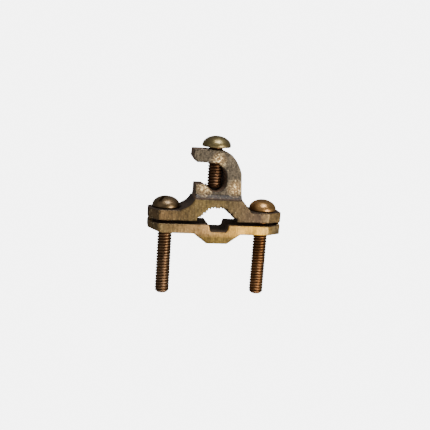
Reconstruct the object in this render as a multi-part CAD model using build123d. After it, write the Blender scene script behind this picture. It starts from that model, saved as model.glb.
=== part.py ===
from build123d import *
import math
import os

# Bronze rod clamp: two cast jaws drawn together by two screws.
# The upper jaw carries a lug into which the earth conductor is laid, under a screw of its own.
# Millimetres. The origin is the centre of the rod seat, on the plane where the two jaws meet.
# +X runs along the jaws from the lug's open side to its closed side, +Y along the rod, +Z up to the lug.

# Screws: 1/4-20 slotted round head.
SCREW_MAJOR = 6.3
THREAD_CLEARANCE = 0.05
PASSING_CLEARANCE = 0.08
CLAMP_HEAD_DIAMETER = 12.0
BINDING_HEAD_DIAMETER = 12.4
HEAD_HEIGHT = 4.9
HEAD_EDGE = 0.7
HEAD_UNDER_CHAMFER = 0.4
SLOT_WIDTH = 1.6
SLOT_DEPTH = 2.2
TIP_CHAMFER = 0.9
CLAMP_SCREW_LENGTH = 38.1
BINDING_SCREW_LENGTH = 17.5
LEFT_SLOT_TURN = 38.0
RIGHT_SLOT_TURN = 5.0
BINDING_SLOT_TURN = -12.0

# Both jaws, in plan.
JAW_LENGTH = 58.3
CLAMP_SCREW_INSET = 7.75
JAW_DEPTH = 16.0
LEFT_END_CHAMFER_X = 4.2
RIGHT_END_CHAMFER_X = 6.4
END_CHAMFER_Y = 4.4
SEAM_HALF_GAP = 0.7
PAD_HALF_GAP = 0.03
PAD_LENGTH = 1.6
PAD_INSET = 0.2

# Upper jaw.
EAR_THICKNESS = 4.4
SADDLE_TOP = 10.2
SADDLE_TOP_LEFT = -9.8
SADDLE_TOP_RIGHT = 10.75
RIGHT_FLANK_FOOT = 15.1
LEFT_FLANK_RADIUS = 6.4
LEFT_FLANK_ARC = 60.0
SWEEP_RISE = 2.3
SPOT_FACE_RADIUS = 6.5
# Stepped arch: half widths and heights above the jaw's underside, from the mouth to the tooth at the crown.
ARCH_STEPS = [
    (8.6, 0.0),
    (8.6, 1.6),
    (6.6, 2.1),
    (6.4, 3.1),
    (4.5, 4.2),
    (4.3, 5.2),
    (1.4, 6.1),
    (0.0, 5.6),
]

# Conductor lug.
LUG_DEPTH = 9.6
LUG_FOOT_DEPTH = 12.8
LUG_FOOT_HEIGHT = 1.7
LUG_TOP = 31.1
# The back of the lug bends over in two arcs, each given by its start, a point on its way and its end.
SHOULDER_START = (10.0, 21.0)
SHOULDER_MIDDLE = (8.4, 25.0)
SHOULDER_END = (5.9, 28.5)
CROWN_MIDDLE = (3.1, 30.4)
CROWN_END_X = -0.4
ARM_END_TOP_X = -11.2
ARM_END_LOW_X = -11.6
ARM_END_LOW_Z = 27.8
ARM_NOSE_X = -9.8
ARM_UNDERSIDE = 25.4
WINDOW_X = -0.6
WINDOW_RADIUS = 4.1
WINDOW_FLOOR = 13.1
WINDOW_TOP_RADIUS = 6.3
ANVIL_RISE = 3.1
ANVIL_LIP_DROP = 1.5
ANVIL_LIP_LENGTH = 2.4
BINDING_SCREW_X = -1.1
BINDING_HEAD_GAP = 0.8

# Lower jaw. Its channel and hump sit a little to the right of the screws' middle.
HUMP_X = 0.35
CHANNEL_X = 0.9
BAR_THICKNESS = 4.1
HUMP_TOP_HALF = 10.2
HUMP_BOTTOM_HALF = 4.5
HUMP_DEPTH = 4.2
LEFT_END_BEVEL_LENGTH = 6.0
LEFT_END_BEVEL_HEIGHT = 1.4
CHANNEL_TOP_HALF = 4.3
CHANNEL_FLOOR_HALF = 3.7
CHANNEL_DEPTH = 3.0
CHANNEL_CORNER = 0.6

# Places that follow from the sizes above.
CLAMP_SCREW_X = JAW_LENGTH / 2 - CLAMP_SCREW_INSET
UPPER_UNDERSIDE = SEAM_HALF_GAP
EAR_TOP = UPPER_UNDERSIDE + EAR_THICKNESS
BAR_TOP = -SEAM_HALF_GAP
BAR_UNDERSIDE = BAR_TOP - BAR_THICKNESS
ANVIL_TOP = WINDOW_FLOOR + ANVIL_RISE
# The left sweep's arc starts upright against the lug at this height.
SWEEP_CENTRE_Z = SADDLE_TOP + SWEEP_RISE
# Cutters run this far past the faces they open.
OVERRUN = 2.0
# Shapes of one casting run this far into each other before they are joined.
BITE = 1.0


def side_profile(points, depth):
    """Extrude a closed outline of (x, z) points to both sides of the XZ plane."""
    return extrude(Plane.XZ * filled(points), depth / 2, both=True)


def jaw_plate(bottom, thickness):
    """A flat jaw: a bar with its four corners cut back, lying on the height `bottom`."""
    end = JAW_LENGTH / 2
    front = JAW_DEPTH / 2
    corner_y = front - END_CHAMFER_Y
    right = end - RIGHT_END_CHAMFER_X
    left = LEFT_END_CHAMFER_X - end
    back_half = [(end, corner_y), (right, front), (left, front), (-end, corner_y)]
    front_half = [(x, -y) for x, y in reversed(back_half)]
    return extrude(Plane.XY.offset(bottom) * filled(back_half + front_half), thickness)


def end_pads(low, high):
    """The two narrow pads where the jaws touch at their ends."""
    width = 2 * (JAW_DEPTH / 2 - END_CHAMFER_Y - PAD_INSET)
    pads = []
    for side in (-1, 1):
        x = side * (JAW_LENGTH / 2 - PAD_LENGTH / 2 - PAD_INSET)
        block = Box(PAD_LENGTH, width, high - low)
        pads.append(Pos(x, 0, (low + high) / 2) * block)
    return pads


def upright_hole(x, radius, low, high):
    """A cutter for a round hole along Z."""
    return Pos(x, 0, (low + high) / 2) * Cylinder(radius, high - low)


def saddle():
    """The raised middle of the upper jaw: a straight slope on the right, a hollow sweep on the left."""
    sweep = left_sweep()
    level = [point for point in sweep if point[1] < SADDLE_TOP]
    outline = [
        (RIGHT_FLANK_FOOT, EAR_TOP),
        (SADDLE_TOP_RIGHT, SADDLE_TOP),
        (sweep_x(SADDLE_TOP), SADDLE_TOP),
    ]
    outline = outline + level
    outline = outline + [(level[-1][0], EAR_TOP - BITE), (RIGHT_FLANK_FOOT, EAR_TOP - BITE)]
    return side_profile(outline, JAW_DEPTH)


def sweep_x(height):
    """Where the left sweep stands at a height within its arc."""
    centre_x = SADDLE_TOP_LEFT - LEFT_FLANK_RADIUS
    drop = SWEEP_CENTRE_Z - height
    return centre_x + math.sqrt(LEFT_FLANK_RADIUS ** 2 - drop ** 2)


def left_sweep():
    """Points of the left sweep from the lug's wall down: an arc, then a straight run onto the ear."""
    steps = 12
    points = []
    for index in range(steps + 1):
        angle = math.radians(LEFT_FLANK_ARC * index / steps)
        x = SADDLE_TOP_LEFT - LEFT_FLANK_RADIUS * (1 - math.cos(angle))
        z = SWEEP_CENTRE_Z - LEFT_FLANK_RADIUS * math.sin(angle)
        points.append((x, z))
    last_x, last_z = points[-1]
    run = (last_z - EAR_TOP) * math.tan(math.radians(LEFT_FLANK_ARC))
    points.append((last_x - run, EAR_TOP))
    return points


def lug_fillet():
    """The upper end of the left sweep, where it rises past the saddle's top against the lug."""
    upper = [point for point in left_sweep() if point[1] > SADDLE_TOP - BITE]
    outline = upper + [(SADDLE_TOP_LEFT + BITE, upper[-1][1]), (SADDLE_TOP_LEFT + BITE, SWEEP_CENTRE_Z)]
    return side_profile(outline, LUG_DEPTH)


def lug():
    """The C-shaped lug: back wall, top arm and anvil, with the window open on the left."""
    crown_end = (CROWN_END_X, LUG_TOP)
    shoulder = ThreePointArc(SHOULDER_START, SHOULDER_MIDDLE, SHOULDER_END)
    crown = ThreePointArc(SHOULDER_END, CROWN_MIDDLE, crown_end)
    rest = Polyline(
        crown_end,
        (ARM_END_TOP_X, LUG_TOP),
        (ARM_END_LOW_X, ARM_END_LOW_Z),
        (ARM_NOSE_X, ARM_UNDERSIDE),
        (WINDOW_X, ARM_UNDERSIDE),
        (WINDOW_X, ANVIL_TOP),
        (SADDLE_TOP_LEFT, ANVIL_TOP),
        (SADDLE_TOP_LEFT, SADDLE_TOP - BITE),
        (SADDLE_TOP_RIGHT, SADDLE_TOP - BITE),
        (SADDLE_TOP_RIGHT, SADDLE_TOP),
        SHOULDER_START,
    )
    outline = make_face([shoulder, crown, rest]) - window()
    return extrude(Plane.XZ * outline, LUG_DEPTH / 2, both=True)


def lug_foot():
    """The sloped band at the front and back of the lug, where it spreads onto the saddle."""
    foot = LUG_FOOT_DEPTH / 2
    top = LUG_DEPTH / 2
    outline = [
        (-foot, SADDLE_TOP - BITE),
        (foot, SADDLE_TOP - BITE),
        (foot, SADDLE_TOP),
        (top, SADDLE_TOP + LUG_FOOT_HEIGHT),
        (-top, SADDLE_TOP + LUG_FOOT_HEIGHT),
        (-foot, SADDLE_TOP),
    ]
    band = extrude(Plane.YZ * filled(outline), SADDLE_TOP_RIGHT - SADDLE_TOP_LEFT)
    return Pos(SADDLE_TOP_LEFT, 0, 0) * band


def filled(points):
    """A flat face from its corners."""
    return make_face(Polyline(*points, close=True))


def window():
    """The conductor window's outline: round floor, rounded upper right corner, mouth on the left."""
    floor_z = WINDOW_FLOOR + WINDOW_RADIUS
    right = WINDOW_X + WINDOW_RADIUS
    corner_x = right - WINDOW_TOP_RADIUS
    corner_z = ARM_UNDERSIDE - WINDOW_TOP_RADIUS
    outside = ARM_END_LOW_X - OVERRUN
    lip_z = ANVIL_TOP - ANVIL_LIP_DROP
    lip_x = WINDOW_X - math.sqrt(WINDOW_RADIUS ** 2 - (floor_z - lip_z) ** 2)
    floor = Circle(WINDOW_RADIUS).moved(Location((WINDOW_X, floor_z)))
    quarter = filled([
        (corner_x, corner_z),
        (right, corner_z),
        (right, ARM_UNDERSIDE),
        (corner_x, ARM_UNDERSIDE),
    ])
    corner = Circle(WINDOW_TOP_RADIUS).moved(Location((corner_x, corner_z))) & quarter
    middle = filled([
        (WINDOW_X, floor_z),
        (lip_x, lip_z),
        (lip_x - ANVIL_LIP_LENGTH, ANVIL_TOP),
        (outside, ANVIL_TOP),
        (outside, ARM_UNDERSIDE),
        (corner_x, ARM_UNDERSIDE),
        (corner_x, corner_z),
        (right, corner_z),
        (right, floor_z),
    ])
    return middle + floor + corner


def arch():
    """The cutter for the stepped, toothed arch that bites on the rod."""
    right = [(x, UPPER_UNDERSIDE + z) for x, z in ARCH_STEPS]
    left = [(-x, z) for x, z in reversed(right[:-1])]
    mouth = [(-ARCH_STEPS[0][0], -OVERRUN), (ARCH_STEPS[0][0], -OVERRUN)]
    return side_profile(right + left + mouth, JAW_DEPTH + 2 * OVERRUN)


def left_end_bevel():
    """The cutter that thins the lower jaw's left end from below."""
    end = -JAW_LENGTH / 2
    outline = [
        (end + LEFT_END_BEVEL_LENGTH, BAR_UNDERSIDE),
        (end, BAR_UNDERSIDE + LEFT_END_BEVEL_HEIGHT),
        (end - OVERRUN, BAR_UNDERSIDE + LEFT_END_BEVEL_HEIGHT),
        (end - OVERRUN, BAR_UNDERSIDE - OVERRUN),
        (end + LEFT_END_BEVEL_LENGTH, BAR_UNDERSIDE - OVERRUN),
    ]
    return side_profile(outline, JAW_DEPTH + 2 * OVERRUN)


def upper_jaw():
    """The upper casting: ears, saddle, arch and lug."""
    body = jaw_plate(UPPER_UNDERSIDE, EAR_THICKNESS) + saddle()
    for side in (-1, 1):
        seat = upright_hole(side * CLAMP_SCREW_X, SPOT_FACE_RADIUS, EAR_TOP, SADDLE_TOP)
        body = body - seat
    body = body + lug() + lug_foot() + lug_fillet() + end_pads(PAD_HALF_GAP, UPPER_UNDERSIDE + PAD_INSET)
    body = body - arch()
    for side in (-1, 1):
        radius = SCREW_MAJOR / 2 + PASSING_CLEARANCE
        body = body - upright_hole(side * CLAMP_SCREW_X, radius, -OVERRUN, EAR_TOP + OVERRUN)
    radius = SCREW_MAJOR / 2 + THREAD_CLEARANCE
    low = ARM_UNDERSIDE - WINDOW_TOP_RADIUS
    return body - upright_hole(BINDING_SCREW_X, radius, low, LUG_TOP + OVERRUN)


def lower_jaw():
    """The lower casting: tapped bar, tapered hump below and the rod channel across its top."""
    body = jaw_plate(BAR_UNDERSIDE, BAR_THICKNESS)
    hump = [
        (HUMP_TOP_HALF, BAR_UNDERSIDE + BITE),
        (HUMP_TOP_HALF, BAR_UNDERSIDE),
        (HUMP_BOTTOM_HALF, BAR_UNDERSIDE - HUMP_DEPTH),
        (-HUMP_BOTTOM_HALF, BAR_UNDERSIDE - HUMP_DEPTH),
        (-HUMP_TOP_HALF, BAR_UNDERSIDE),
        (-HUMP_TOP_HALF, BAR_UNDERSIDE + BITE),
    ]
    floor = BAR_TOP - CHANNEL_DEPTH
    channel = [
        (CHANNEL_TOP_HALF, OVERRUN),
        (CHANNEL_TOP_HALF, BAR_TOP),
        (CHANNEL_FLOOR_HALF, floor + CHANNEL_CORNER),
        (CHANNEL_FLOOR_HALF - CHANNEL_CORNER, floor),
        (CHANNEL_CORNER - CHANNEL_FLOOR_HALF, floor),
        (-CHANNEL_FLOOR_HALF, floor + CHANNEL_CORNER),
        (-CHANNEL_TOP_HALF, BAR_TOP),
        (-CHANNEL_TOP_HALF, OVERRUN),
    ]
    body = body + Pos(HUMP_X, 0, 0) * side_profile(hump, JAW_DEPTH)
    body = body - left_end_bevel()
    body = body + end_pads(BAR_TOP - PAD_INSET, -PAD_HALF_GAP)
    body = body - Pos(CHANNEL_X, 0, 0) * side_profile(channel, JAW_DEPTH + 2 * OVERRUN)
    for side in (-1, 1):
        radius = SCREW_MAJOR / 2 + THREAD_CLEARANCE
        low = BAR_UNDERSIDE - OVERRUN
        body = body - upright_hole(side * CLAMP_SCREW_X, radius, low, OVERRUN)
    return body


def head_outline(diameter):
    """Half of the round head's section: flat below, a short straight rim and an elliptical crown."""
    rim = diameter / 2
    rise = HEAD_HEIGHT - HEAD_EDGE
    steps = 8
    crown = []
    for index in range(steps + 1):
        angle = math.pi / 2 * index / steps
        crown.append((rim * math.cos(angle), HEAD_EDGE + rise * math.sin(angle)))
    top = Spline(*crown, tangents=((0, 1), (-1, 0)))
    base = Polyline(
        (0, HEAD_HEIGHT),
        (0, 0),
        (rim - HEAD_UNDER_CHAMFER, 0),
        (rim, HEAD_UNDER_CHAMFER),
        (rim, HEAD_EDGE),
    )
    return make_face([top, base])


def round_head_screw(x, seat_z, length, diameter, slot_turn):
    """A slotted round-head screw standing on Z, its head's underside on `seat_z`."""
    radius = SCREW_MAJOR / 2
    head = revolve(Plane.XZ * head_outline(diameter), Axis.Z)
    slot_z = HEAD_HEIGHT - SLOT_DEPTH / 2 + OVERRUN / 2
    slot = Rot(0, 0, slot_turn) * Box(diameter + OVERRUN, SLOT_WIDTH, SLOT_DEPTH + OVERRUN)
    slot = Pos(0, 0, slot_z) * slot
    shank = Pos(0, 0, -length / 2) * Cylinder(radius, length)
    shank = chamfer(shank.edges().sort_by(Axis.Z)[0], TIP_CHAMFER)
    return Pos(x, 0, seat_z) * (head - slot + shank)


def clamp_screw(side, slot_turn):
    """One of the two long screws that draw the jaws together."""
    return round_head_screw(
        side * CLAMP_SCREW_X, EAR_TOP, CLAMP_SCREW_LENGTH, CLAMP_HEAD_DIAMETER, slot_turn
    )


def binding_screw():
    """The short screw in the lug's arm, its tip just clear of the window's floor."""
    seat_z = LUG_TOP + BINDING_HEAD_GAP
    return round_head_screw(
        BINDING_SCREW_X, seat_z, BINDING_SCREW_LENGTH, BINDING_HEAD_DIAMETER, BINDING_SLOT_TURN
    )


def main():
    os.makedirs("parts", exist_ok=True)
    pieces = {
        "upper_jaw": upper_jaw(),
        "lower_jaw": lower_jaw(),
        "left_clamp_screw": clamp_screw(-1, LEFT_SLOT_TURN),
        "right_clamp_screw": clamp_screw(1, RIGHT_SLOT_TURN),
        "binding_screw": binding_screw(),
    }
    for node, shape in pieces.items():
        export_step(shape, f"parts/{node}.step")


main()
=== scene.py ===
import bmesh
import bpy
import math
from mathutils import Matrix, Vector
from mathutils import noise as lattice


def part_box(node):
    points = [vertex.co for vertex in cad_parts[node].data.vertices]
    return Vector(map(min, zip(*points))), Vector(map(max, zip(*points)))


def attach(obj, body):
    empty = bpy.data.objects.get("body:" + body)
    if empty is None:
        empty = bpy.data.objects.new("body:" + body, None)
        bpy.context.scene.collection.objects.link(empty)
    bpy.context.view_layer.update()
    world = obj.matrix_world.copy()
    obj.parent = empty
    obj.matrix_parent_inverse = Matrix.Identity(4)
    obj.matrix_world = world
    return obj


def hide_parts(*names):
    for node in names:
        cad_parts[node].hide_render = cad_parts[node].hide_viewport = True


# Cast bronze rod clamp, dressed for close view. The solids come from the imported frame; here the two
# castings get their softened edges and sand-cast skin, and the three screws their threads, slots and
# rolled finish.
# Metres, in the shared frame: +X along the jaws, +Y along the rod, +Z up.

MM = 0.001

# Screws, 1/4-20 slotted round head.
THREAD_PITCH = 1.27 * MM
THREAD_MAJOR_RADIUS = 3.14 * MM
THREAD_DEPTH = 0.5 * MM
# The thread's root flat and flank, as shares of half a pitch.
THREAD_ROOT_FLAT = 0.1
THREAD_FLANK = 0.6
RINGS_PER_PITCH = 10
SIDES = 72
HEAD_HEIGHT = 4.88 * MM
HEAD_BAND = 0.7 * MM
# The head's lower rim is rounded: how far inside the rim each point lies, and how high over the seat.
HEAD_RIM = ((0.45 * MM, 0.0), (0.1 * MM, 0.25 * MM), (0.0, 0.5 * MM))
DOME_STEPS = 18
SLOT_WIDTH = 1.6 * MM
SLOT_DEPTH = 2.2 * MM
TIP_CHAMFER = 0.9 * MM
EDGE_SOFTENING = 0.12 * MM
# Each dressed screw stays this much inside the plain one.
SHANK_SHORTFALL = 0.02 * MM
HEAD_SHORTFALL = 0.01 * MM
SOFTENED_ANGLE = math.radians(40)
SHARP_ANGLE = math.radians(35)
BINDING_SLOT_TURN = -12.0
LEFT_SLOT_TURN = 50.0
RIGHT_SLOT_TURN = 5.0

# Sand-cast skin.
CAST_VOXEL = 0.26 * MM
CAST_ROUGHNESS = 0.07 * MM
CAST_LUMP = 1.1 * MM
CAST_FINE_LUMP = 0.45 * CAST_LUMP
# The skin swings by a share of the roughness about a level sunk by another, so it stays inside the solid.
CAST_SWING = 0.6
CAST_SINK = 0.7
CAST_SMOOTHING_PASSES = 6
# The arch's teeth: cut along the rod, in a row round the arch's middle, on walls that don't face front or
# back.
WALL_FACING_LIMIT = 0.95
ARCH_CENTRE_Z = 0.7 * MM
ARCH_INNER = 3.6 * MM
ARCH_OUTER = 8.0 * MM
ARCH_TOOTH_RADIUS = 6.8 * MM
TOOTH_PITCH = 1.4 * MM
TOOTH_DEPTH = 0.8 * MM
TOOTH_START = 1.6 * MM
# The window's right wall and floor lean in towards the back, as the core that formed them was tapered.
WINDOW_CENTRE = (-0.6 * MM, 17.2 * MM)
WINDOW_REACH = 4.8 * MM
WINDOW_FLOOR_REACH = 4.3 * MM
WINDOW_TOP = 25.2 * MM
LUG_HALF_DEPTH = 4.8 * MM
CORE_WALL_TAPER = 1.9 * MM
CORE_FLOOR_TAPER = 1.0 * MM
# The taper reaches a little past the lug's faces, as a share of its half depth.
TAPER_MARGIN = 1.05
# Where the castings' tints change: along the jaws, over the saddle, under the bar, over the lug's foot, which
# is painted darker as shade, and at the patches of the lug where a highlight is painted, each with its middle
# (x, z) and its reach.
JAW_HALF_LENGTH = 29.1 * MM
SADDLE_TOP = 10.2 * MM
BAR_UNDERSIDE = -4.8 * MM
LUG_FOOT_TOP = 11.9 * MM
LUG_HIGHLIGHT_PATCHES = (
    ((-6.0 * MM, 14.8 * MM), 4.4 * MM),
    ((-0.4 * MM, 26.6 * MM), 3.8 * MM),
    ((7.6 * MM, 15.0 * MM), 4.2 * MM),
)

# Studio.
CAMERA_AZIMUTH = -10.5
CAMERA_ELEVATION = 10.9
CAMERA_ROLL = 4.0
CAMERA_DISTANCE = 0.260
CAMERA_LENS = 49.6
CAMERA_TARGET = Vector((0.0003, 0, 0.00216))
# How bright the white surroundings look to the camera, and how much light they give to the rest.
WHITE_SEEN = 6.0
WHITE_LIGHT = 0.2
FLOOR_HALF_WIDTH = 0.6
FLOOR_Z = -0.16
# Soft boxes: name, place, side, watts and colour.
LIGHTS = (
    ("key", (0.17, -0.28, -0.03), 0.14, 1.3, "#fff4e4"),
    ("fill", (-0.26, -0.16, 0.08), 0.25, 0.06, "#f8f8ff"),
    ("overhead", (0.04, -0.13, 0.32), 0.14, 1.3, "#f8f8ff"),
)

# Finishes, as sRGB colours. Left, middle, right and end are places along a jaw. Their differences are partly
# stain on the metal, and partly stand in for light that falls unevenly along it.
COLOURS = {
    "upper_left": "#695436",
    "upper_middle": "#564929",
    "upper_right": "#403226",
    "upper_end": "#8d754d",
    "upper_skin": "#44382e",
    "lug": "#4a4338",
    # The lug's foot: painted shade, darker than the lug above it.
    "lug_foot": "#2a2622",
    "lug_skin": "#6e5a48",
    # Bright metal of worn flecks and edges, also laid on the lug's patches as painted highlight.
    "bare_metal_and_highlight": "#ffe8b4",
    # Golden painted highlight on the lug's patches.
    "highlight_tint": "#b8925a",
    "lower_left": "#6e5c3a",
    "lower_middle": "#9f7d4d",
    "lower_right": "#c6972f",
    "lower_end": "#87734d",
    "lower_skin": "#655440",
    "hump": "#655224",
    "left_head": "#786449",
    "left_shank": "#745a41",
    "right_head": "#af8653",
    "right_shank": "#795636",
    "binding_head": "#93845a",
    "binding_shank": "#5f4632",
}


def linear(hex_colour):
    """A display colour such as #c8a070 as linear red, green, blue and alpha."""
    channels = []
    for start in (1, 3, 5):
        value = int(hex_colour[start:start + 2], 16) / 255
        channels.append(value / 12.92 if value <= 0.04045 else ((value + 0.055) / 1.055) ** 2.4)
    return (*channels, 1.0)


def add_node(tree, kind, settings=None, **sockets):
    """A shader node with its settings, and its sockets set to values or joined to other nodes' outputs."""
    made = tree.nodes.new(kind)
    for name, value in (settings or {}).items():
        setattr(made, name, value)
    for name, value in sockets.items():
        target = socket_named(made, name)
        if isinstance(value, bpy.types.NodeSocket):
            tree.links.new(value, target)
        else:
            target.default_value = value
    return made


def socket_named(node, name):
    """A node's input by its name with underscores for spaces, or by its number as in `input_2`."""
    if name.startswith("input_"):
        return node.inputs[int(name[6:])]
    return node.inputs[name.replace("_", " ")]


def ramp(tree, factor, stops):
    """A smooth colour ramp through (place, colour) stops; a grey may be given as one number."""
    made = add_node(tree, "ShaderNodeValToRGB", Fac=factor)
    elements = made.color_ramp.elements
    while len(elements) < len(stops):
        elements.new(0.5)
    for element, (place, colour) in zip(elements, stops):
        element.position = place
        element.color = colour if isinstance(colour, tuple) else (colour, colour, colour, 1.0)
    return made.outputs["Color"]


def blend_colours(tree, factor, first, second, mode="MIX"):
    """Mix two colours, each a value or an output."""
    settings = {"data_type": "RGBA", "blend_type": mode}
    made = add_node(tree, "ShaderNodeMix", settings, Factor=factor, input_6=first, input_7=second)
    return made.outputs[2]


def noise(tree, place, size, detail=3.0, stretch=None):
    """Noise whose features are about `size` across, optionally stretched per axis."""
    if stretch:
        place = add_node(tree, "ShaderNodeMapping", Vector=place, Scale=stretch).outputs["Vector"]
    made = add_node(tree, "ShaderNodeTexNoise", Vector=place, Scale=1 / size, Detail=detail)
    return made.outputs["Fac"]


def new_material(name):
    """An empty node material with its principled shader."""
    made = bpy.data.materials.new(name)
    made.use_nodes = True
    return made, made.node_tree, made.node_tree.nodes["Principled BSDF"]


def range_share(tree, value, low, high):
    """How far a value lies between two limits, held to nought and one."""
    return add_node(
        tree, "ShaderNodeMapRange", Value=value, From_Min=low, From_Max=high
    ).outputs["Result"]


def highlight_patch(tree, place, centre, reach):
    """How strongly a patch's painted highlight shows: most at its centre (x, z), nothing at its reach,
    whatever the depth.
    """
    flat = add_node(tree, "ShaderNodeMapping", Vector=place, Scale=(1.0, 0.0, 1.0)).outputs["Vector"]
    middle = (centre[0], 0.0, centre[1])
    away = add_node(tree, "ShaderNodeVectorMath", {"operation": "DISTANCE"}, input_0=flat, input_1=middle)
    return range_share(tree, away.outputs["Value"], reach, 0.1 * reach)


def cast_bronze(name, ground_colours, zone_colour, zone, skin, zone_skin, highlight_patches=(), foot=None):
    """Sand-cast tin bronze. The front and back were ground on a belt with the grain upright, and shine
    golden under brown handling stains; the other faces keep the dull dark skin of the mould. Corners of
    all faces are painted nearly black as shade. A zone of the casting, between two heights, goes over to
    its own tint, with patches of painted highlight and bright flecks on it. A zone that stands on a foot
    shows the sand's grain more strongly, and its foot, up to a height, is painted darker as shade."""
    made, tree, shader = new_material(name)
    coordinates = add_node(tree, "ShaderNodeTexCoord")
    place = coordinates.outputs["Object"]
    axes = add_node(tree, "ShaderNodeSeparateXYZ", Vector=place)
    facing = add_node(tree, "ShaderNodeSeparateXYZ", Vector=coordinates.outputs["Normal"])
    flat = add_node(tree, "ShaderNodeMath", {"operation": "ABSOLUTE"}, input_0=facing.outputs["Y"])
    # Faces turned to the front or back are ground; the others keep their skin.
    ground_share = range_share(tree, flat.outputs[0], 0.45, 0.75)
    along = range_share(tree, axes.outputs["X"], -JAW_HALF_LENGTH, JAW_HALF_LENGTH)
    in_zone = range_share(tree, axes.outputs["Z"], *zone)
    # Along the jaws the tint changes, partly as stain and partly as painted light that falls unevenly along
    # them.
    ground = ramp(tree, along, list(zip((0.1, 0.42, 0.82, 0.94), map(linear, ground_colours))))
    # The chamfered corners are painted a little darker, as shade where they turn away from the front light.
    chamfer_painted_shade = ramp(tree, flat.outputs[0], [(0.82, 0.85), (0.95, 1.0)])
    ground = blend_colours(tree, 1.0, ground, chamfer_painted_shade, "MULTIPLY")
    zone_tint = linear(zone_colour)
    # The lug's foot is painted darker, as shade.
    if foot:
        top, foot_shade_colour = foot
        on_foot = range_share(tree, axes.outputs["Z"], top + 0.15 * MM, top - 0.15 * MM)
        zone_tint = blend_colours(tree, on_foot, zone_tint, linear(foot_shade_colour))
    ground = blend_colours(tree, in_zone, ground, zone_tint)
    raw = blend_colours(tree, in_zone, linear(skin), linear(zone_skin))
    # Handling stains, the belt's upright grain, then fine flecks.
    clouds = noise(tree, place, 5 * MM, 5.0)
    stain = ramp(tree, clouds, [(0.38, 0.66), (0.6, 1.15)])
    ground = blend_colours(tree, 0.8, ground, stain, "MULTIPLY")
    grain = noise(tree, place, 0.6 * MM, 3.0, (1.0, 1.0, 0.22))
    streaks = ramp(tree, grain, [(0.36, 0.6), (0.64, 1.35)])
    ground = blend_colours(tree, 0.8, ground, streaks, "MULTIPLY")
    flecks = noise(tree, place, 0.9 * MM, 4.0, (1.0, 1.0, 1.5))
    fleck_share = ramp(tree, flecks, [(0.60, 0.0), (0.75, 0.15)])
    ground = blend_colours(tree, fleck_share, ground, linear(COLOURS["bare_metal_and_highlight"]))
    # Painted highlights on the lug: each patch goes over to a golden tint, with bright flecks strongest at its
    # middle.
    for centre, reach in highlight_patches:
        highlight_strength = highlight_patch(tree, place, centre, reach)
        highlight_tint = blend_colours(tree, 0.35, ground, linear(COLOURS["highlight_tint"]))
        ground = blend_colours(tree, highlight_strength, ground, highlight_tint)
        bright = ramp(tree, flecks, [(0.52, 0.0), (0.64, 1.0)])
        share = blend_colours(tree, 1.0, bright, highlight_strength, "MULTIPLY")
        ground = blend_colours(tree, share, ground, linear(COLOURS["bare_metal_and_highlight"]))
    colour = blend_colours(tree, ground_share, raw, ground)
    # The sand's grain, bare metal on worn edges, and painted shade in the corners, over ground and skin alike.
    grit = noise(tree, place, 0.8 * MM, 4.0)
    grit_shade = ramp(tree, grit, [(0.40, 0.55), (0.60, 1.4)])
    strong = blend_colours(tree, 0.9, colour, grit_shade, "MULTIPLY")
    weak = blend_colours(tree, 0.4, colour, grit_shade, "MULTIPLY")
    colour = blend_colours(tree, in_zone, weak, strong) if foot else weak
    edge = add_node(tree, "ShaderNodeNewGeometry").outputs["Pointiness"]
    rub = ramp(tree, edge, [(0.58, 0.0), (0.70, 0.3)])
    colour = blend_colours(tree, rub, colour, linear(COLOURS["bare_metal_and_highlight"]))
    # Painted shade: corners and recesses are darkened by how sheltered they are.
    shelter = add_node(tree, "ShaderNodeAmbientOcclusion", {"samples": 8}, Distance=1.0 * MM).outputs["AO"]
    crevice_shade = ramp(tree, shelter, [(0.3, 0.16), (0.68, 1.0)])
    colour = blend_colours(tree, 1.0, colour, crevice_shade, "MULTIPLY")
    rough = ramp(tree, grit, [(0.3, 0.38), (0.7, 0.54)])
    rough = blend_colours(tree, ground_share, (0.75, 0.75, 0.75, 1.0), rough)
    pits = noise(tree, place, 0.35 * MM, 5.0)
    bump = add_node(tree, "ShaderNodeBump", Height=pits, Strength=0.6, Distance=0.1 * MM)
    tree.links.new(colour, shader.inputs["Base Color"])
    tree.links.new(rough, shader.inputs["Roughness"])
    tree.links.new(bump.outputs["Normal"], shader.inputs["Normal"])
    shader.inputs["Metallic"].default_value = 0.75
    return made


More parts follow.
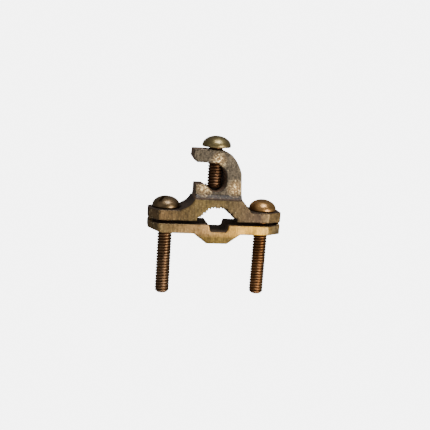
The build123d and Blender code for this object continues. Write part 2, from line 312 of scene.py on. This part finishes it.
def rolled_bronze(name, head, shank, seat):
    """Silicon bronze, cold headed and thread rolled: a smooth semi-gloss metal under an uneven brown
    tarnish, with worn crests, and shade painted dark into the thread's roots. The head takes another
    tint than the oily shank; `seat` parts the two."""
    made, tree, shader = new_material(name)
    place = add_node(tree, "ShaderNodeTexCoord").outputs["Object"]
    height = add_node(tree, "ShaderNodeSeparateXYZ", Vector=place).outputs["Z"]
    on_head = range_share(tree, height, seat - 0.1 * MM, seat + 0.1 * MM)
    colour = blend_colours(tree, on_head, linear(shank), linear(head))
    clouds = noise(tree, place, 4 * MM, 4.0)
    tarnish = ramp(tree, clouds, [(0.35, 0.7), (0.65, 1.1)])
    colour = blend_colours(tree, 0.8, colour, tarnish, "MULTIPLY")
    # Painted shade, darkest in hollows such as the thread's roots.
    shelter = add_node(tree, "ShaderNodeAmbientOcclusion", {"samples": 8}, Distance=0.8 * MM).outputs["AO"]
    crevice_shade = ramp(tree, shelter, [(0.1, 0.3), (0.75, 1.0)])
    colour = blend_colours(tree, 1.0, colour, crevice_shade, "MULTIPLY")
    rough = ramp(tree, clouds, [(0.3, 0.34), (0.7, 0.46)])
    scuffs = noise(tree, place, 0.5 * MM, 3.0)
    bump = add_node(tree, "ShaderNodeBump", Height=scuffs, Strength=0.15, Distance=0.05 * MM)
    tree.links.new(colour, shader.inputs["Base Color"])
    tree.links.new(rough, shader.inputs["Roughness"])
    tree.links.new(bump.outputs["Normal"], shader.inputs["Normal"])
    shader.inputs["Metallic"].default_value = 1.0
    return made


def seen_as_white(tree, lit, output):
    """Let whatever looks straight at a surface see plain white, and give it `lit` for all other light."""
    to_camera = add_node(tree, "ShaderNodeLightPath").outputs["Is Camera Ray"]
    white = add_node(tree, "ShaderNodeEmission", Color=(1, 1, 1, 1), Strength=WHITE_SEEN).outputs[0]
    made = add_node(tree, "ShaderNodeMixShader", input_0=to_camera, input_1=lit, input_2=white)
    tree.links.new(made.outputs[0], output.inputs["Surface"])


def studio_paper():
    """Matt white paper under the object, which the camera sees as white as the surroundings."""
    made, tree, shader = new_material("studio_paper")
    place = add_node(tree, "ShaderNodeTexCoord").outputs["Object"]
    fibre = noise(tree, place, 2 * MM)
    tone = ramp(tree, fibre, [(0.3, linear("#f0f0f0")), (0.7, linear("#fafafa"))])
    tree.links.new(tone, shader.inputs["Base Color"])
    shader.inputs["Roughness"].default_value = 0.9
    seen_as_white(tree, shader.outputs[0], tree.nodes["Material Output"])
    return made


def apply_modifiers(obj):
    """Turn an object's modifiers into its mesh."""
    graph = bpy.context.evaluated_depsgraph_get()
    mesh = bpy.data.meshes.new_from_object(obj.evaluated_get(graph))
    obj.modifiers.clear()
    old = obj.data
    obj.data = mesh
    bpy.data.meshes.remove(old)


def new_object(name, mesh):
    """An object for a mesh, linked into the scene."""
    made = bpy.data.objects.new(name, mesh)
    bpy.context.scene.collection.objects.link(made)
    return made


def read_points(mesh):
    """The mesh's corner places and normals, read once so that moving one corner can't change the next."""
    return [(vertex.co.copy(), vertex.normal.copy()) for vertex in mesh.vertices]


def move_points(mesh, points):
    """Put the mesh's corners at new places."""
    mesh.vertices.foreach_set("co", [value for point in points for value in point])
    mesh.update()


def roughen(mesh):
    """Push the skin in by the uneven depth that moulding sand leaves."""
    moved = []
    for point, normal in read_points(mesh):
        lumps = lattice.noise(point / CAST_LUMP) + 0.5 * lattice.noise(point / CAST_FINE_LUMP)
        moved.append(point + normal * CAST_ROUGHNESS * (CAST_SWING * lumps - CAST_SINK))
    move_points(mesh, moved)


def cut_arch_teeth(mesh):
    """Ripple the arch's wall into the row of small teeth that grip the rod."""
    moved = []
    for point, normal in read_points(mesh):
        rise = point.z - ARCH_CENTRE_Z
        reach = math.hypot(point.x, rise)
        in_band = rise > TOOTH_START and ARCH_INNER < reach < ARCH_OUTER
        on_wall = abs(normal.y) < WALL_FACING_LIMIT and in_band
        inward = normal.x * point.x + normal.z * rise < 0
        if on_wall and inward:
            run = math.atan2(point.x, rise) * ARCH_TOOTH_RADIUS / TOOTH_PITCH
            wave = abs(2 * (run % 1.0) - 1)
            scale = 1 + TOOTH_DEPTH * (wave - 0.5) / reach
            point.x *= scale
            point.z = ARCH_CENTRE_Z + rise * scale
        moved.append(point)
    move_points(mesh, moved)


def taper_window(mesh):
    """Lean the window's floor and right wall in towards the back."""
    moved = []
    for point, normal in read_points(mesh):
        across = point.x - WINDOW_CENTRE[0]
        over_floor = point.z - WINDOW_CENTRE[1]
        if over_floor < 0:
            inside = math.hypot(across, over_floor) < WINDOW_FLOOR_REACH
        else:
            inside = 0 < across < WINDOW_REACH and point.z < WINDOW_TOP
        if inside and abs(point.y) < TAPER_MARGIN * LUG_HALF_DEPTH:
            share = min(1.0, max(0.0, (point.y + LUG_HALF_DEPTH) / (2 * LUG_HALF_DEPTH)))
            point.x += CORE_WALL_TAPER * share * min(0.0, normal.x)
            point.z += CORE_FLOOR_TAPER * share * max(0.0, normal.z)
        moved.append(point)
    move_points(mesh, moved)


def casting(node, material, shape_wall=()):
    """The CAD casting with its sharp edges softened and its surface lightly uneven, as sand casting
    leaves it."""
    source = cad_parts[node]
    skin = new_object(node + "_casting", source.data.copy())
    remesh = skin.modifiers.new("even_mesh", "REMESH")
    remesh.mode = "VOXEL"
    remesh.voxel_size = CAST_VOXEL
    remesh.use_smooth_shade = True
    smooth = skin.modifiers.new("soft_edges", "SMOOTH")
    smooth.factor = 0.5
    smooth.iterations = CAST_SMOOTHING_PASSES
    apply_modifiers(skin)
    roughen(skin.data)
    for shape in shape_wall:
        shape(skin.data)
    skin.data.materials.clear()
    skin.data.materials.append(material)
    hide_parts(node)
    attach(skin, node)


def thread_radius(z, angle):
    """Radius of a 60 degree thread with small flats, at a height and an angle, for a right-hand helix."""
    phase = (z / THREAD_PITCH - angle / (2 * math.pi)) % 1.0
    height = abs(2 * phase - 1)
    height = min(1.0, max(0.0, (height - THREAD_ROOT_FLAT) / THREAD_FLANK))
    return THREAD_MAJOR_RADIUS - THREAD_DEPTH * (1 - height)


def add_shank(work, length, top):
    """A closed threaded shank, from `top` down, with a chamfered tip."""
    rings = []
    count = int(length / THREAD_PITCH * RINGS_PER_PITCH)
    for index in range(count + 1):
        depth = length * index / count
        ring = []
        for side in range(SIDES):
            angle = 2 * math.pi * side / SIDES
            to_tip = length - depth
            limit = THREAD_MAJOR_RADIUS - max(0.0, TIP_CHAMFER - to_tip)
            radius = min(thread_radius(-depth, angle), limit)
            ring.append(work.verts.new((radius * math.cos(angle), radius * math.sin(angle), top - depth)))
        rings.append(ring)
    for upper, lower in zip(rings, rings[1:]):
        for side in range(SIDES):
            after = (side + 1) % SIDES
            work.faces.new((upper[side], lower[side], lower[after], upper[after])).smooth = True
    work.faces.new(list(reversed(rings[-1]))).smooth = False
    work.faces.new(rings[0]).smooth = False


def head_mesh(name, radius, seat_z, slot_turn):
    """A round head turned from its profile, with the driver slot cut across it."""
    rise = HEAD_HEIGHT - HEAD_BAND
    profile = [(0.0, 0.0)]
    profile += [(radius - inset, height) for inset, height in HEAD_RIM]
    for index in range(DOME_STEPS + 1):
        angle = math.pi / 2 * index / DOME_STEPS
        profile.append((radius * math.cos(angle), HEAD_BAND + rise * math.sin(angle)))
    work = bmesh.new()
    chain = [work.verts.new((reach, 0, seat_z + z)) for reach, z in profile]
    edges = [work.edges.new(pair) for pair in zip(chain, chain[1:])]
    bmesh.ops.spin(work, geom=chain + edges, cent=(0, 0, 0), axis=(0, 0, 1), angle=2 * math.pi, steps=SIDES)
    bmesh.ops.remove_doubles(work, verts=work.verts, dist=0.001 * MM)
    bmesh.ops.recalc_face_normals(work, faces=work.faces)
    head = new_object(name, bpy.data.meshes.new(name))
    work.to_mesh(head.data)
    work.free()
    cutter = slot_cutter(radius, seat_z, slot_turn)
    cut = head.modifiers.new("slot", "BOOLEAN")
    cut.operation = "DIFFERENCE"
    cut.object = cutter
    soft = head.modifiers.new("soft_edges", "BEVEL")
    soft.width = EDGE_SOFTENING
    soft.segments = 2
    soft.limit_method = "ANGLE"
    soft.angle_limit = SOFTENED_ANGLE
    apply_modifiers(head)
    bpy.data.objects.remove(cutter)
    return head


def slot_cutter(radius, seat_z, slot_turn):
    """The block that cuts the driver slot."""
    work = bmesh.new()
    bmesh.ops.create_cube(work, size=1.0)
    cutter = new_object("slot_cutter", bpy.data.meshes.new("slot_cutter"))
    size = Matrix.Diagonal((3 * radius, SLOT_WIDTH, 2 * SLOT_DEPTH, 1.0))
    turn = Matrix.Rotation(math.radians(slot_turn), 4, "Z")
    work.transform(Matrix.Translation((0, 0, seat_z + HEAD_HEIGHT)) @ turn @ size)
    work.to_mesh(cutter.data)
    work.free()
    return cutter


def screw(node, slot_turn, material):
    """A slotted round-head screw with its real thread, in place of the plain CAD one."""
    low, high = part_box(node)
    seat_z = high.z - HEAD_HEIGHT
    length = seat_z - low.z - SHANK_SHORTFALL
    radius = (high.x - low.x) / 2 - HEAD_SHORTFALL
    head = head_mesh(node + "_threaded", radius, seat_z, slot_turn)
    work = bmesh.new()
    work.from_mesh(head.data)
    for face in work.faces:
        face.smooth = True
    add_shank(work, length, seat_z)
    middle = (low + high) / 2
    work.transform(Matrix.Translation((middle.x, middle.y, 0)))
    work.to_mesh(head.data)
    work.free()
    head.data.set_sharp_from_angle(angle=SHARP_ANGLE)
    head.data.materials.clear()
    head.data.materials.append(material)
    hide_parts(node)
    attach(head, node)


def set_camera():
    """A close product view from a little left of the front and a little above, slightly rolled."""
    azimuth = math.radians(CAMERA_AZIMUTH)
    elevation = math.radians(CAMERA_ELEVATION)
    roll = math.radians(CAMERA_ROLL)
    back = Vector((
        math.sin(azimuth) * math.cos(elevation),
        -math.cos(azimuth) * math.cos(elevation),
        math.sin(elevation),
    ))
    right = Vector((math.cos(azimuth), math.sin(azimuth), 0))
    up = back.cross(right)
    rolled_right = right * math.cos(roll) + up * math.sin(roll)
    rolled_up = up * math.cos(roll) - right * math.sin(roll)
    data = bpy.data.cameras.new("camera")
    data.sensor_width = 36
    data.lens = CAMERA_LENS
    data.clip_start = 0.005
    camera = new_object("camera", data)
    place = CAMERA_TARGET + back * CAMERA_DISTANCE
    turn = Matrix((rolled_right, rolled_up, back)).transposed().to_4x4()
    camera.matrix_world = Matrix.Translation(place) @ turn
    bpy.context.scene.camera = camera


def soft_box(name, place, size, power, colour):
    """A square soft light pointing at the object, which stands at the origin."""
    data = bpy.data.lights.new(name, "AREA")
    data.shape = "SQUARE"
    data.size = size
    data.energy = power
    data.color = linear(colour)[:3]
    light = new_object(name, data)
    place = Vector(place)
    light.location = place
    light.rotation_euler = (-place).to_track_quat("-Z", "Y").to_euler()


def set_studio():
    """A white paper floor, white surroundings and the soft boxes: low on the right, weak on the left and
    one overhead."""
    world = bpy.data.worlds.new("white_studio")
    world.use_nodes = True
    tree = world.node_tree
    dim = tree.nodes["Background"]
    dim.inputs["Color"].default_value = (1, 1, 1, 1)
    dim.inputs["Strength"].default_value = WHITE_LIGHT
    seen_as_white(tree, dim.outputs[0], tree.nodes["World Output"])
    bpy.context.scene.world = world
    work = bmesh.new()
    bmesh.ops.create_grid(work, x_segments=1, y_segments=1, size=FLOOR_HALF_WIDTH)
    floor = new_object("floor", bpy.data.meshes.new("floor"))
    work.to_mesh(floor.data)
    work.free()
    floor.location.z = FLOOR_Z
    floor.data.materials.append(studio_paper())
    for name, place, size, power, colour in LIGHTS:
        soft_box(name, place, size, power, colour)


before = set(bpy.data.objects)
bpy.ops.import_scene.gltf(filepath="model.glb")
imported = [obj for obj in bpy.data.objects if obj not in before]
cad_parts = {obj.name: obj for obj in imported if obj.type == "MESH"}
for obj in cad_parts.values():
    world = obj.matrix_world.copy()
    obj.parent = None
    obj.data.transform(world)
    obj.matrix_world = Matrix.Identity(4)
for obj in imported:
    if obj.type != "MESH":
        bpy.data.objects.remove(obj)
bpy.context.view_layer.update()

upper_bronze = cast_bronze(
    "cast_bronze_upper",
    (COLOURS["upper_left"], COLOURS["upper_middle"], COLOURS["upper_right"], COLOURS["upper_end"]),
    COLOURS["lug"],
    (SADDLE_TOP - 0.3 * MM, SADDLE_TOP + 0.5 * MM),
    COLOURS["upper_skin"],
    COLOURS["lug_skin"],
    LUG_HIGHLIGHT_PATCHES,
    foot=(LUG_FOOT_TOP, COLOURS["lug_foot"]),
)
lower_bronze = cast_bronze(
    "cast_bronze_lower",
    (COLOURS["lower_left"], COLOURS["lower_middle"], COLOURS["lower_right"], COLOURS["lower_end"]),
    COLOURS["hump"],
    (BAR_UNDERSIDE + 0.4 * MM, BAR_UNDERSIDE - 1.6 * MM),
    COLOURS["lower_skin"],
    COLOURS["lower_skin"],
)
casting("upper_jaw", upper_bronze, (cut_arch_teeth, taper_window))
casting("lower_jaw", lower_bronze)
clamp_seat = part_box("left_clamp_screw")[1].z - HEAD_HEIGHT
binding_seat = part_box("binding_screw")[1].z - HEAD_HEIGHT
olive = rolled_bronze("rolled_bronze_olive", COLOURS["binding_head"], COLOURS["binding_shank"], binding_seat)
brown = rolled_bronze("rolled_bronze_brown", COLOURS["left_head"], COLOURS["left_shank"], clamp_seat)
copper = rolled_bronze("rolled_bronze_copper", COLOURS["right_head"], COLOURS["right_shank"], clamp_seat)
screw("binding_screw", BINDING_SLOT_TURN, olive)
screw("left_clamp_screw", LEFT_SLOT_TURN, brown)
screw("right_clamp_screw", RIGHT_SLOT_TURN, copper)

set_camera()
set_studio()
